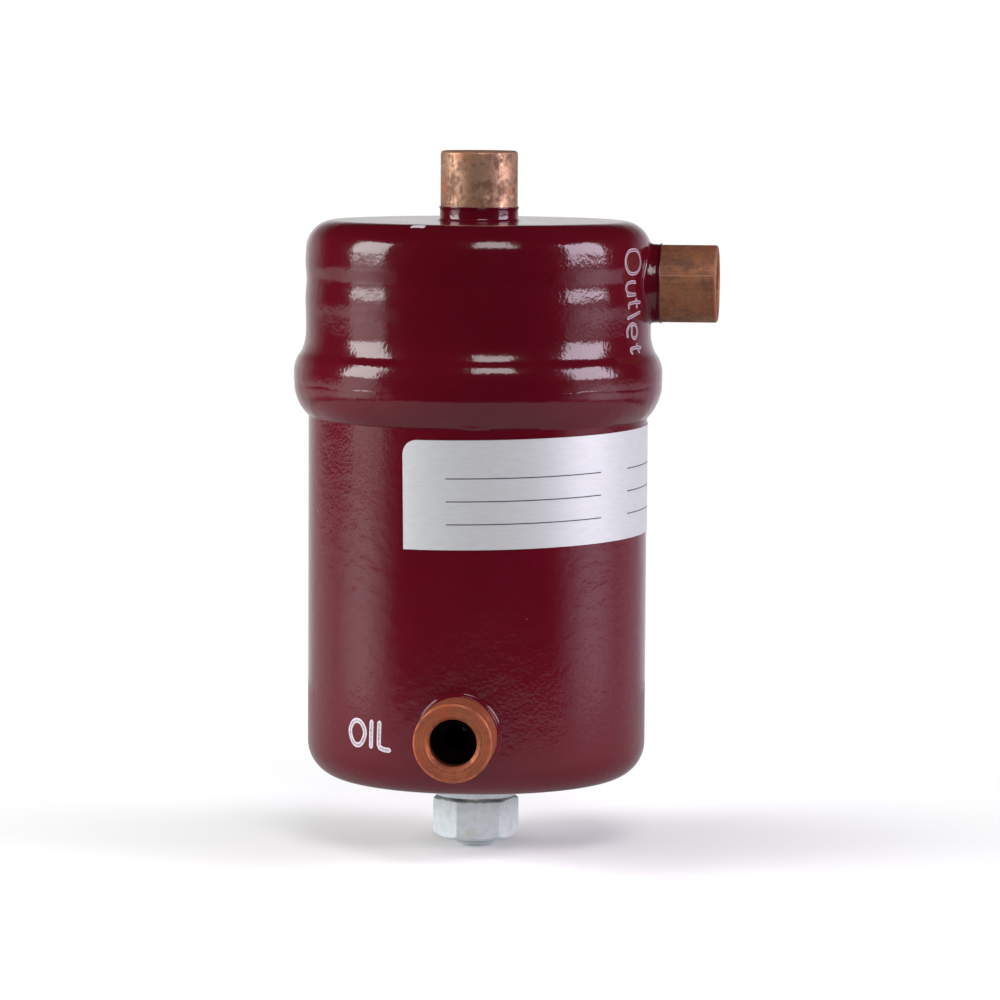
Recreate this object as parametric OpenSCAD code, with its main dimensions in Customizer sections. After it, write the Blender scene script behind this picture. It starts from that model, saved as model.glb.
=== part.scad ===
// Refrigeration oil separator with an internal float valve, in millimetres.
// The origin is the centre of the vessel's bottom face. Z is up, the outlet points along +X
// and the oil return along -Y. Everything turned is a profile of [radius, distance] points.

/* [Vessel] */
// Outside diameter of the upper shell
upper_od = 71.05; // [69:0.05:74]
// Outside diameter of the lower shell
lower_od = 69.85; // [68:0.05:73]
// Height from the bottom face to the top face
vessel_h = 115; // [110:0.5:140]
// Sheet thickness of both shells
wall = 2.9; // [2:0.1:3.3]
// Outside corner radius round the top
top_corner_r = 6; // [4:0.1:10]
// Outside corner radius round the bottom
bottom_corner_r = 7.4; // [5:0.1:10]

/* [Girth joint] */
// Height of the upper shell from the bell's edge to the top face
upper_h = 33.6; // [30:0.2:44]
// Length of the bell's straight part below its crown
bell_straight = 2.4; // [1.5:0.1:4]
// Radius of the crown that rolls the bell in
crown_r = 6.8; // [5:0.1:12]
// Radius of the flare above the bell
flare_r = 10.2; // [8:0.1:16]
// Slope at which flare and crown end at the step between them
flare_slope = 24; // [12:0.5:26]
// Height of the step between flare and crown
step_h = 1.6; // [0.8:0.1:3]
// Radial gap between the bell and the lower shell
lap_gap = 0.15; // [0.05:0.05:0.3]
// Reach of the lower shell's rim above the start of the crown
rim_rise = 0.8; // [0:0.1:0.9]
// Length of the weld down the lower shell
weld_leg = 6.8; // [4:0.1:8]
// Crown of the weld's face above a straight line
weld_crown = 0.66; // [0.2:0.02:1]

/* [Fittings] */
// Outside diameter of the three fittings
fitting_od = 15.88; // [14.8:0.02:17.5]
// Socket diameter of the inlet and the outlet, for half-inch tube
socket_d = 12.8; // [11.6:0.05:13.2]
// Socket depth of the inlet and the outlet
socket_depth = 9.5; // [7:0.1:11]
// Bore behind the inlet and outlet sockets
gas_bore_d = 10.2; // [8:0.1:11]
// Chamfer at the mouths of the inlet and the outlet
socket_chamfer = 0.4; // [0.2:0.05:0.6]
// Reach of the inlet above the top face
inlet_reach = 14.3; // [12.5:0.1:25]
// Reach of the outlet beyond the upper shell
outlet_reach = 13.8; // [12.5:0.1:25]
// Drop from the top face to the outlet's axis
outlet_drop = 12.6; // [11:0.1:18]
// Reach of the outlet fitting inside the wall
outlet_inset = 2; // [1.5:0.1:5]
// Reach of the oil fitting beyond the lower shell
oil_reach = 12; // [10:0.1:20]
// Height of the oil fitting's axis above the bottom face
oil_z = 13; // [12:0.1:15]
// Socket diameter of the oil fitting, for three-eighths tube
oil_socket_d = 9.6; // [8.5:0.05:11]
// Socket depth of the oil fitting
oil_socket_depth = 8; // [6:0.1:9.5]
// Bore behind the oil socket
oil_bore_d = 5; // [3:0.1:7]
// Chamfer at the mouth of the oil socket
oil_chamfer = 0.65; // [0.2:0.05:1]
// Rounding of the fittings' outer edges
fitting_edge_r = 0.7; // [0.3:0.1:0.9]
// Leg of the braze fillets
braze_leg = 1; // [0.8:0.1:2.2]
// Gap between a fitting, its hole and its braze fillet
braze_gap = 0.05; // [0.03:0.01:0.12]

/* [Stud and nut] */
// Diameter of the mounting stud
stud_d = 9.52; // [8:0.02:10.5]
// Length of the stud below the bottom face
stud_len = 14.5; // [14:0.1:30]
// Chamfer on the stud's end
stud_chamfer = 1.2; // [0.5:0.1:1.6]
// Diameter of the stud's weld flange
stud_flange_d = 13; // [12:0.1:16]
// Thickness of the stud's weld flange
stud_flange_t = 1.3; // [0.8:0.1:2]
// Outside diameter of the lock washer
washer_od = 17.2; // [15:0.1:20]
// Thickness of the lock washer
washer_t = 2.4; // [1.5:0.1:3]
// Radial gap between the lock washer and the stud
washer_gap = 0.2; // [0.1:0.05:0.5]
// Width of the split in the lock washer
washer_split = 1; // [0.5:0.1:2]
// Slant of the split in the lock washer
washer_slant = 25; // [0:1:40]
// Width of the nut across its flats
nut_af = 15.1; // [13.5:0.1:18]
// Height of the nut
nut_h = 8.9; // [6:0.1:9.4]
// Angle of the nut's corner chamfers
nut_chamfer_angle = 30; // [15:1:35]
// Turn of the nut on the stud
nut_turn = 11; // [0:1:59]
// Radial gap that stands for the thread of stud and nut
thread_gap = 0.05; // [0.03:0.01:0.1]

/* [Label] */
// Height of the label
label_h = 22; // [15:0.5:28]
// Length of the label round the shell
label_len = 89; // [60:1:105]
// Thickness of the label
label_t = 0.15; // [0.08:0.01:0.3]
// Gap from the weld to the middle of the label's upper edge
label_gap = 2.1; // [1.8:0.1:8]
// Angle from the oil fitting back to the label's left edge
label_start = 19.5; // [5:0.5:40]
// Radius of the label's upper left corner
label_corner_r = 3; // [1:0.1:5]
// Slope of the label, as it was stuck on
label_slope = 1.1; // [0:0.1:2]

/* [Separating element] */
// Length of the element between its caps
element_len = 40; // [30:1:44]
// Outside diameter of the outer sleeve
sleeve_od = 40; // [34:0.5:46]
// Outside diameter of the core tube
core_od = 19; // [17:0.5:22]
// Sheet thickness of core and sleeve
tube_t = 0.6; // [0.4:0.1:0.9]
// Thickness of the two caps
cap_t = 1.2; // [0.8:0.1:2]
// Depth of the caps' rims
cap_rim = 4; // [2:0.5:6]
// Height of the collar that hangs the element
collar_h = 6; // [5:0.1:7]
// Outside diameter of the collar
collar_od = 18; // [16.5:0.1:20]
// Diameter of the spigot inside the inlet
spigot_d = 13.8; // [12.6:0.1:14.4]
// Length of the spigot inside the inlet
spigot_len = 8.5; // [6:0.1:12]
// Radial gap between parts of the element
element_gap = 0.1; // [0.05:0.05:0.3]
// Diameter of the holes in core and sleeve
hole_d = 3; // [2:0.1:3.6]
// Rows of holes in core and sleeve
hole_rows = 6; // [3:1:8]
// Holes in each row round the core
core_holes = 6; // [4:1:8]
// Holes in each row round the sleeve
sleeve_holes = 12; // [8:1:16]

/* [Float valve] */
// Reach of the oil fitting's shoulder inside the wall
oil_inset = 1.5; // [1.3:0.1:3]
// Diameter of the oil fitting's inner spigot
valve_spigot_d = 10; // [8:0.1:11]
// Length of the oil fitting's inner spigot
valve_spigot_len = 4; // [3:0.1:5]
// Diameter of the valve body
valve_d = 13; // [12:0.1:14]
// Length of the valve body
valve_len = 12; // [11:0.1:13]
// Diameter of the valve seat
seat_d = 6; // [5.2:0.1:8]
// Length of the valve seat
seat_len = 3; // [2:0.1:4]
// Diameter of the orifice
orifice_d = 2; // [1.4:0.1:2.6]
// Length of the chamber behind the seat
chamber_len = 2.4; // [1.8:0.1:3]
// Diameter of the cross holes that let oil into the chamber
port_d = 1.8; // [1:0.1:2.2]
// Diameter of the needle
needle_d = 4; // [3.6:0.1:4.2]
// Half angle of the needle's point
needle_angle = 30; // [20:1:40]
// Diameter of the needle's neck
neck_d = 1.6; // [1.2:0.1:1.8]
// Length of the needle's neck
neck_len = 2.9; // [2.7:0.1:3.4]
// Length of the needle's tail collar
tail_len = 1.2; // [0.8:0.1:2]
// Radial gap of the needle in its guide
guide_gap = 0.05; // [0.02:0.01:0.08]
// Radial gap between the closed needle and its seat
seat_gap = 0.1; // [0.05:0.01:0.15]
// Diameter of the hinge pin
pin_d = 2.5; // [2:0.1:3]
// Distance of the hinge pin behind the valve body
pin_back = 3.2; // [3:0.1:4]
// Height of the hinge pin above the needle
pin_rise = 5; // [4.8:0.1:6]
// Radial gap of the hinge pin in the lever
hinge_gap = 0.05; // [0.02:0.01:0.08]
// Radial gap of the hinge pin in the ears
pin_fit = 0.02; // [0.01:0.01:0.04]
// Width of the lever between the ears
lever_w = 4; // [3.8:0.1:4.6]
// Diameter of the lever's hub
hub_d = 5; // [4.4:0.1:5.4]
// Thickness of each ear
ear_t = 2.4; // [1.6:0.1:3]
// Rounding diameter of the ears
ear_d = 5.6; // [4.6:0.1:6]
// Side gap between the lever and each ear
ear_gap = 0.15; // [0.1:0.05:0.3]
// Width of the fork's tines
tine_w = 1.6; // [1.2:0.1:1.7]
// Gap between a tine and the needle's neck
tine_gap = 0.3; // [0.2:0.05:0.4]
// Diameter of the lever's rod
rod_d = 2.4; // [1.8:0.1:3]
// Diameter of the cup that holds the float
cup_d = 6; // [4:0.1:9]
// Thickness of the cup at its middle
cup_t = 1; // [0.6:0.1:2]
// Distance from the hinge pin to the near side of the float
rod_reach = 8.85; // [8:0.05:12]
// Sheet thickness of the float
float_t = 0.4; // [0.3:0.05:0.6]
// Gap between the float and the far wall
float_wall_gap = 3.5; // [2.5:0.1:5]
// Gap between the resting float and the floor
float_floor_gap = 2.1; // [1.5:0.1:4]

/* [Hidden] */
$fn = 96;
FINE = 480;
ARC_STEPS = 10;
CUT = 1;
upper_r = upper_od / 2;
lower_r = lower_od / 2;
lower_ri = lower_r - wall;
upper_ri = upper_r - wall;
fitting_r = fitting_od / 2;
outlet_z = vessel_h - outlet_drop;

bell_r = lower_r + lap_gap + wall;
bell_edge_z = vessel_h - upper_h;
crown_z = bell_edge_z + bell_straight;
step_z = crown_z + crown_r * sin(flare_slope);
flare_z = step_z + step_h + flare_r * sin(flare_slope);
rim_z = crown_z + rim_rise;
weld_toe_z = bell_edge_z - weld_leg;

washer_z = -stud_flange_t - washer_t;
nut_z = washer_z - nut_h;

label_angle = label_len / lower_r * 180 / PI;
label_mid_z = weld_toe_z - label_gap - label_h / 2;
label_left_a = -90 - label_start;
label_rise = lower_r * tan(label_slope) * sin(label_angle / 2);

inside_top_z = vessel_h - wall;
cap_z = inside_top_z - collar_h - cap_t;
element_z = cap_z - element_len;
sleeve_r = sleeve_od / 2;
core_r = core_od / 2;
cap_r = sleeve_r + element_gap + cap_t;
hole_pitch = element_len / (hole_rows + 1);

shoulder_s = lower_ri - oil_inset;
spigot_end_s = shoulder_s - valve_spigot_len;
seat_face_s = spigot_end_s - seat_len;
valve_back_s = shoulder_s - valve_len;
port_s = seat_face_s - chamber_len / 2;
pin_s = valve_back_s - pin_back;
pin_z = oil_z + pin_rise;
needle_r = needle_d / 2;
neck_r = neck_d / 2;
tip_r = orifice_d / 4;
cone_s = seat_face_s - (needle_r - orifice_d / 2 + seat_gap) / tan(needle_angle);
tip_s = cone_s + (needle_r - tip_r) / tan(needle_angle);
ear_x = lever_w / 2 + ear_gap;
tine_x = neck_r + tine_gap;
float_d = lower_ri - float_wall_gap + pin_s - rod_reach;
float_r = float_d / 2;
float_y = lower_ri - float_wall_gap - float_r;
float_z = wall + float_floor_gap + float_r;
rod_tilt = atan2(float_z - pin_z, float_y + pin_s);
arm_len = norm([float_z - pin_z, float_y + pin_s]);

PAINT = [0.33, 0.07, 0.08];
COPPER = [0.60, 0.36, 0.25];
ZINC = [0.74, 0.77, 0.80];
STEEL = [0.66, 0.66, 0.65];
BRASS = [0.78, 0.62, 0.30];
FOIL = [0.86, 0.87, 0.88];

// Points of an arc round c, from angle a to angle b.
function arc(c, r, a, b) = [
    for (i = [0 : ARC_STEPS])
        let (t = a + (b - a) * i / ARC_STEPS)
        c + r * [cos(t), sin(t)]
];

// Outside of the flare and the crown, from the upper shell's side down to the bell.
function flare_line() = concat(
    arc([upper_r + flare_r, flare_z], flare_r, 180, 180 + flare_slope),
    arc([bell_r - crown_r, crown_z], crown_r, flare_slope, 0)
);

// Outside of the upper shell from the top centre down to the bell's edge, moved in by t.
function upper_line(t) = concat(
    [[0, vessel_h - t]],
    arc([upper_r - top_corner_r, vessel_h - top_corner_r], top_corner_r - t, 90, 0),
    [for (p = flare_line()) p - [t, 0]],
    [[bell_r - t, bell_edge_z]]
);

// Outside of the lower shell from the bottom centre up to its rim, moved in by t.
function lower_line(t) = concat(
    [[0, t]],
    arc([lower_r - bottom_corner_r, bottom_corner_r], bottom_corner_r - t, -90, 0),
    [[lower_r - t, rim_z]]
);

function reversed(points) = [for (i = [len(points) - 1 : -1 : 0]) points[i]];

// Section of a fitting's outer end: a rounded edge, a chamfered mouth and a stepped socket.
function socket_line(end, socket, depth, bore, chamfer) = concat(
    arc([fitting_r - fitting_edge_r, end - fitting_edge_r], fitting_edge_r, 0, 90),
    [
        [socket / 2 + chamfer, end],
        [socket / 2, end - chamfer],
        [socket / 2, end - depth],
        [bore / 2, end - depth]
    ]
);

// Carries children with Z as their axis onto the outlet's axis.
module along_outlet() {
    translate([0, 0, outlet_z]) rotate([0, 90, 0]) children();
}

// Carries children with Z as their axis onto the oil fitting's axis.
module along_oil() {
    translate([0, 0, oil_z]) rotate([90, 0, 0]) children();
}

module ring(r_in, r_out, h) {
    difference() {
        cylinder(r = r_out, h = h);
        translate([0, 0, -CUT]) cylinder(r = r_in, h = h + 2 * CUT);
    }
}

module upper_shell() {
    color(PAINT)
    difference() {
        rotate_extrude() polygon(concat(upper_line(0), reversed(upper_line(wall))));
        translate([0, 0, inside_top_z - CUT]) cylinder(r = fitting_r + braze_gap, h = wall + 2 * CUT);
        along_outlet() cylinder(r = fitting_r + braze_gap, h = max(upper_r, bell_r) + CUT);
    }
}

module lower_shell() {
    color(PAINT)
    difference() {
        rotate_extrude() polygon(concat(lower_line(0), reversed(lower_line(wall))));
        along_oil() cylinder(r = fitting_r + braze_gap, h = lower_r + CUT);
    }
}

module girth_weld() {
    upper = [bell_r, bell_edge_z];
    lower = [lower_r, weld_toe_z];
    out = [weld_leg, lower_r - bell_r] / norm(upper - lower);
    face = [
        for (i = [0 : ARC_STEPS])
            let (s = i / ARC_STEPS)
            upper + s * (lower - upper) + 4 * s * (1 - s) * weld_crown * out
    ];
    color(PAINT)
    rotate_extrude() polygon(concat([[lower_r, bell_edge_z]], face));
}

module inlet_fitting() {
    bottom_z = inside_top_z - spigot_len;
    color(COPPER)
    rotate_extrude()
    polygon(concat(
        [
            [gas_bore_d / 2, bottom_z],
            [spigot_d / 2, bottom_z],
            [spigot_d / 2, inside_top_z],
            [fitting_r, inside_top_z]
        ],
        socket_line(vessel_h + inlet_reach, socket_d, socket_depth, gas_bore_d, socket_chamfer)
    ));
}

module outlet_fitting() {
    start = upper_ri - outlet_inset;
    color(COPPER)
    along_outlet()
    rotate_extrude()
    polygon(concat(
        [[gas_bore_d / 2, start], [fitting_r, start]],
        socket_line(upper_r + outlet_reach, socket_d, socket_depth, gas_bore_d, socket_chamfer)
    ));
}

module oil_fitting() {
    color(COPPER)
    along_oil()
    rotate_extrude()
    polygon(concat(
        [
            [oil_bore_d / 2, spigot_end_s],
            [valve_spigot_d / 2, spigot_end_s],
            [valve_spigot_d / 2, shoulder_s],
            [fitting_r, shoulder_s]
        ],
        socket_line(lower_r + oil_reach, oil_socket_d, oil_socket_depth, oil_bore_d, oil_chamfer)
    ));
}

// Fillet round a fitting, from its wide foot up to the fitting's side. It is so thin that it is
// turned in finer steps than the rest.
module fillet_ring(foot, top) {
    inside = fitting_r + braze_gap;
    rotate_extrude($fn = FINE)
    polygon([[inside, foot], [inside + braze_leg, foot], [inside, top]]);
}

// Depth by which a shell of radius r falls away at the edge of a fillet.
function saddle(r) = r - sqrt(r * r - pow(fitting_r + braze_leg, 2));

module inlet_braze() {
    color(PAINT)
    fillet_ring(vessel_h, vessel_h + braze_leg);
}

module outlet_braze() {
    color(PAINT)
    difference() {
        along_outlet() fillet_ring(upper_r - 2 * saddle(upper_r), upper_r + braze_leg);
        rotate_extrude($fn = FINE) polygon(concat(upper_line(-braze_gap), [[0, bell_edge_z]]));
    }
}

module oil_braze() {
    color(PAINT)
    difference() {
        along_oil() fillet_ring(lower_r - 2 * saddle(lower_r), lower_r + braze_leg);
        rotate_extrude($fn = FINE) polygon(concat(lower_line(-braze_gap), [[0, rim_z]]));
    }
}

module mounting_stud() {
    color(ZINC)
    rotate_extrude()
    polygon([
        [0, 0],
        [stud_flange_d / 2, 0],
        [stud_flange_d / 2, -stud_flange_t],
        [stud_d / 2, -stud_flange_t],
        [stud_d / 2, stud_chamfer - stud_len],
        [stud_d / 2 - stud_chamfer, -stud_len],
        [0, -stud_len]
    ]);
}

module lock_washer() {
    color(ZINC)
    translate([0, 0, washer_z])
    difference() {
        ring(stud_d / 2 + washer_gap, washer_od / 2, washer_t);
        translate([0, washer_od / 2, washer_t / 2])
        rotate([0, washer_slant, 0])
        cube([washer_split, washer_od, 4 * washer_t], center = true);
    }
}

module hex_nut() {
    corner_r = nut_af / sqrt(3);
    drop = (corner_r - nut_af / 2 + CUT) * tan(nut_chamfer_angle);
    color(ZINC)
    translate([0, 0, nut_z])
    difference() {
        intersection() {
            rotate([0, 0, nut_turn]) cylinder(r = corner_r, h = nut_h, $fn = 6);
            rotate_extrude()
            polygon([
                [0, 0],
                [nut_af / 2, 0],
                [corner_r + CUT, drop],
                [corner_r + CUT, nut_h - drop],
                [nut_af / 2, nut_h],
                [0, nut_h]
            ]);
        }
        translate([0, 0, -CUT]) cylinder(r = stud_d / 2 + thread_gap, h = nut_h + 2 * CUT);
    }
}

module data_label() {
    band_h = label_h + 4 * label_rise + CUT;
    color(FOIL)
    difference() {
        intersection() {
            rotate([0, 0, label_left_a])
            rotate_extrude(angle = label_angle)
            translate([lower_r, label_mid_z - band_h / 2])
            square([label_t, band_h]);
            translate([0, 0, label_mid_z])
            rotate([0, 0, label_left_a + label_angle / 2])
            rotate([label_slope, 0, 0])
            cube([2 * lower_od, 2 * lower_od, label_h], center = true);
        }
        rotate([0, 0, label_left_a])
        translate([lower_r, 0, label_mid_z + label_h / 2 - label_rise])
        difference() {
            translate([-CUT, -CUT, -label_corner_r])
            cube([2 * CUT, label_corner_r + CUT, label_corner_r + CUT]);
            translate([0, label_corner_r, -label_corner_r])
            rotate([0, 90, 0])
            cylinder(r = label_corner_r, h = 4 * CUT, center = true);
        }
    }
}

module element_top_cap() {
    color(STEEL)
    translate([0, 0, cap_z])
    difference() {
        union() {
            cylinder(r = cap_r, h = cap_t);
            cylinder(r = collar_od / 2, h = cap_t + collar_h);
            translate([0, 0, -cap_rim]) ring(cap_r - cap_t, cap_r, cap_rim + cap_t);
        }
        translate([0, 0, -CUT]) cylinder(r = spigot_d / 2 + pin_fit, h = cap_t + collar_h + 2 * CUT);
    }
}

module element_bottom_cap() {
    color(STEEL)
    translate([0, 0, element_z - cap_t]) {
        cylinder(r = cap_r, h = cap_t);
        ring(cap_r - cap_t, cap_r, cap_t + cap_rim);
    }
}

// Perforated tube with rows of round holes, every other row set half a pitch round.
module perforated_tube(r, holes) {
    translate([0, 0, element_z])
    difference() {
        ring(r - tube_t, r, element_len);
        for (row = [1 : hole_rows])
            for (i = [0 : holes - 1])
                rotate([0, 0, (i + 0.25 + (row % 2) / 2) * 360 / holes])
                translate([r - tube_t - CUT, 0, row * hole_pitch])
                rotate([0, 90, 0])
                cylinder(d = hole_d, h = tube_t + 2 * CUT);
    }
}

module element_core() {
    color(STEEL)
    perforated_tube(core_r, core_holes);
}

module element_sleeve() {
    color(STEEL)
    perforated_tube(sleeve_r, sleeve_holes);
}

module element_mesh() {
    color(STEEL)
    translate([0, 0, element_z])
    ring(core_r + element_gap, sleeve_r - tube_t - element_gap, element_len);
}

// One ear of the valve body, rounded round the hinge pin.
module ear() {
    translate([ear_x, -pin_s, pin_z]) {
        rotate([0, 90, 0]) cylinder(d = ear_d, h = ear_t);
        translate([0, -pin_back - valve_len / 4, -ear_d / 2])
        cube([ear_t, pin_back + valve_len / 4, ear_d]);
    }
}

module valve_body() {
    color(BRASS)
    difference() {
        union() {
            along_oil() translate([0, 0, valve_back_s]) cylinder(d = valve_d, h = valve_len);
            ear();
            mirror([1, 0, 0]) ear();
        }
        along_oil() {
            translate([0, 0, spigot_end_s]) cylinder(d = valve_spigot_d + 2 * pin_fit, h = valve_len);
            translate([0, 0, seat_face_s]) cylinder(d = seat_d + 2 * pin_fit, h = valve_len);
            translate([0, 0, seat_face_s - chamber_len]) cylinder(d = seat_d - 0.6, h = valve_len);
            translate([0, 0, valve_back_s - CUT]) cylinder(r = needle_r + guide_gap, h = valve_len);
        }
        translate([0, -port_s, oil_z])
        rotate([0, 90, 0])
        cylinder(d = port_d, h = 2 * valve_d, center = true);
        translate([0, -pin_s, pin_z])
        rotate([0, 90, 0])
        cylinder(r = pin_d / 2 + pin_fit, h = 2 * valve_d, center = true);
    }
}

module valve_seat() {
    color(BRASS)
    along_oil()
    translate([0, 0, seat_face_s])
    ring(orifice_d / 2, seat_d / 2, seat_len);
}

module valve_needle() {
    tail_s = pin_s - neck_len / 2;
    color(STEEL)
    along_oil()
    rotate_extrude()
    polygon([
        [0, tail_s - tail_len],
        [needle_r, tail_s - tail_len],
        [needle_r, tail_s],
        [neck_r, tail_s],
        [neck_r, tail_s + neck_len],
        [needle_r, tail_s + neck_len],
        [needle_r, cone_s],
        [tip_r, tip_s],
        [0, tip_s]
    ]);
}

module hinge_pin() {
    color(STEEL)
    translate([0, -pin_s, pin_z])
    rotate([0, 90, 0])
    cylinder(d = pin_d, h = 2 * (ear_x + ear_t), center = true);
}

// One tine of the lever's fork, from the hub down to the needle's axis.
module tine() {
    translate([tine_x, 0, 0]) {
        translate([0, -tine_w / 2, -pin_rise]) cube([lever_w / 2 - tine_x, tine_w, pin_rise]);
        translate([0, 0, -pin_rise]) rotate([0, 90, 0]) cylinder(d = tine_w, h = lever_w / 2 - tine_x);
    }
}

// Carries children onto the rod, with Y as its axis and the float's centre as the origin.
module at_float() {
    translate([0, float_y, float_z]) rotate([rod_tilt, 0, 0]) children();
}

module float_lever() {
    color(STEEL)
    difference() {
        union() {
            translate([0, -pin_s, pin_z]) {
                rotate([0, 90, 0]) cylinder(d = hub_d, h = lever_w, center = true);
                tine();
                mirror([1, 0, 0]) tine();
            }
            at_float() rotate([90, 0, 0]) {
                cylinder(d = rod_d, h = arm_len);
                translate([0, 0, float_r - cup_t]) cylinder(d = cup_d, h = 2 * cup_t);
            }
        }
        at_float() sphere(r = float_r);
        translate([0, -pin_s, pin_z])
        rotate([0, 90, 0])
        cylinder(r = pin_d / 2 + hinge_gap, h = 2 * lever_w, center = true);
    }
}

// Half of the hollow float, on the side of the rod's axis that side gives.
module float_half(side) {
    at_float()
    difference() {
        sphere(r = float_r);
        sphere(r = float_r - float_t);
        translate([0, -side * float_d, 0]) cube(2 * float_d, center = true);
    }
}

module float_near_half() {
    color(STEEL)
    float_half(-1);
}

module float_far_half() {
    color(STEEL)
    float_half(1);
}

upper_shell();
lower_shell();
girth_weld();
inlet_fitting();
outlet_fitting();
oil_fitting();
inlet_braze();
outlet_braze();
oil_braze();
mounting_stud();
lock_washer();
hex_nut();
data_label();
element_top_cap();
element_core();
element_mesh();
element_sleeve();
element_bottom_cap();
valve_body();
valve_seat();
valve_needle();
hinge_pin();
float_lever();
float_near_half();
float_far_half();
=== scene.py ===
# %% [markdown]
# # A small oil separator, dressed for its portrait
# The separator is a painted steel can that catches the oil mist in compressor gas and sends it
# back through a float valve. Its solids and their motion come ready made from the packed model.
# This lesson builds the skins that the eye sees: rolled sheet, a painted weld, turned copper,
# a stuck-on foil and marker strokes. Sizes are written in millimetres and shrunk at the end,
# because the frame is in metres.

# %% Load the fixed frame
import math

import bmesh
import bpy
from mathutils import Matrix, Vector, noise


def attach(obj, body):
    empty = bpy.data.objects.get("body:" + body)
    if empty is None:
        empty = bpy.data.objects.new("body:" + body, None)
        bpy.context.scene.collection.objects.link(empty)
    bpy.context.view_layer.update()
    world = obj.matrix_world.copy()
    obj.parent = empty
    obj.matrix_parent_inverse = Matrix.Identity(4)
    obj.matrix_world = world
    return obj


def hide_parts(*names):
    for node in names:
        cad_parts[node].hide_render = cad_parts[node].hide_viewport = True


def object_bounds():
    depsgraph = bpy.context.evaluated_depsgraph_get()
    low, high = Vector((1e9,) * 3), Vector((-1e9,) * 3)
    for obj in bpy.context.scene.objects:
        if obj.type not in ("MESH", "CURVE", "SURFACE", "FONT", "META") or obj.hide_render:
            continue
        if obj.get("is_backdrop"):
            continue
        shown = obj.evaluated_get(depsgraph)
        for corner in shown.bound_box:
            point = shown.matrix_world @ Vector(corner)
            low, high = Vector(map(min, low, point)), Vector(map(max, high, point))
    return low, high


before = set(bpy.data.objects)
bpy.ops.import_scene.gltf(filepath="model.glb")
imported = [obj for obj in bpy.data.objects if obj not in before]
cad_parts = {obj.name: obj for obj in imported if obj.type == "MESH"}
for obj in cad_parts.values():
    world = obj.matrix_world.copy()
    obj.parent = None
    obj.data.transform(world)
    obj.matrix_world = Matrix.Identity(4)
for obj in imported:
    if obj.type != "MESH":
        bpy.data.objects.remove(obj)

MM = 0.001
solids_box = [list(corner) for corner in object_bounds()]
print("nodes:", len(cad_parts), "box:", [[round(x, 4) for x in c] for c in solids_box])

# %% [markdown]
# ## The camera
# The portrait was taken with a long lens from a little above and a few degrees to the right of
# the oil fitting. A camera can be aimed by a constraint, but its matrix written out keeps the
# slight tilt of the picture too: the three columns are its right, its up and the way back.

# %% Stand the camera in front of the vessel
TURN, RISE, PITCH, ROLL = (math.radians(a) for a in (5.5, 5.0, 5.228, 0.338))
DISTANCE, LENS = 993.0, 172.94
AIM_RIGHT, AIM_UP = 4.65, 61.22


def backwards(rise):
    """The way from the vessel to the camera, for a rise above the horizon."""
    return Vector((math.sin(TURN) * math.cos(rise), -math.cos(TURN) * math.cos(rise), math.sin(rise)))


right = Vector((math.cos(TURN), math.sin(TURN), 0))
stand = AIM_RIGHT * right + Vector((0, 0, AIM_UP)) + DISTANCE * backwards(RISE)
upright = Matrix((right, backwards(PITCH).cross(right), backwards(PITCH))).transposed()
tilted = upright @ Matrix.Rotation(ROLL, 3, "Z")
camera = bpy.data.objects.new("camera", bpy.data.cameras.new("camera"))
bpy.context.scene.collection.objects.link(camera)
camera.data.lens = LENS
camera.matrix_world = Matrix.Translation(stand * MM) @ tilted.to_4x4()
bpy.context.scene.camera = camera
print("camera at", [round(x, 3) for x in camera.location])

# %% [markdown]
# ## Shader sums
# A finish is mostly arithmetic: so much tarnish here, a little more roughness there. Nodes can be
# wired by hand, but long sums get hard to read. This class holds one socket, lets Python's own
# operators add the Math nodes, and has one method for every other kind of node.


# %% A socket that can be used in sums
class Wire:
    """One output socket of a node tree."""

    def __init__(self, tree, socket=None):
        self.tree, self.socket = tree, socket

    def node(self, kind, settings=None, inputs=None, output=0):
        """Adds a node: its settings first, then the values or links of its sockets."""
        made = self.tree.nodes.new(kind)
        for name, value in (settings or {}).items():
            setattr(made, name, value)
        for name, value in (inputs or {}).items():
            if isinstance(value, Wire):
                self.tree.links.new(value.socket, made.inputs[name])
            else:
                made.inputs[name].default_value = value
        return Wire(self.tree, made.outputs[output])

    def maths(self, operation, a, b=0.0):
        return self.node("ShaderNodeMath", {"operation": operation}, {0: a, 1: b})

    def __add__(self, other):
        return self.maths("ADD", self, other)

    def __sub__(self, other):
        return self.maths("SUBTRACT", self, other)

    def __rsub__(self, other):
        return self.maths("SUBTRACT", other, self)

    def __mul__(self, other):
        return self.maths("MULTIPLY", self, other)

    __radd__ = __add__
    __rmul__ = __mul__


print("sums on sockets: + - * and", Wire.node.__name__)

# %% [markdown]
# ## Patterns that several finishes share
# Cloudy tarnish, flecks and soft thresholds turn up on every surface here. Each is a node or two
# on Object coordinates, which are metres in the frame, so a scale of 500 makes grains of 2 mm.


# %% Clouds, thresholds and tints
def clouds(place, scale, detail=2.0, rough=0.5):
    return place.node("ShaderNodeTexNoise", None,
                      {"Vector": place, "Scale": scale, "Detail": detail, "Roughness": rough})


def rising(value, low, high):
    """0 below low, 1 above high, and smooth between them."""
    return value.node("ShaderNodeMapRange", {"interpolation_type": "SMOOTHSTEP"},
                      {"Value": value, "From Min": low, "From Max": high})


def tint(mask, under, over):
    """The colour under, with the colour over where the mask is 1."""
    colours = [c if isinstance(c, Wire) else (*c, 1.0) for c in (under, over)]
    return mask.node("ShaderNodeMix", {"data_type": "RGBA"},
                     {0: mask, 6: colours[0], 7: colours[1]}, 2)


print("patterns: clouds, rising, tint")


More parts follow.
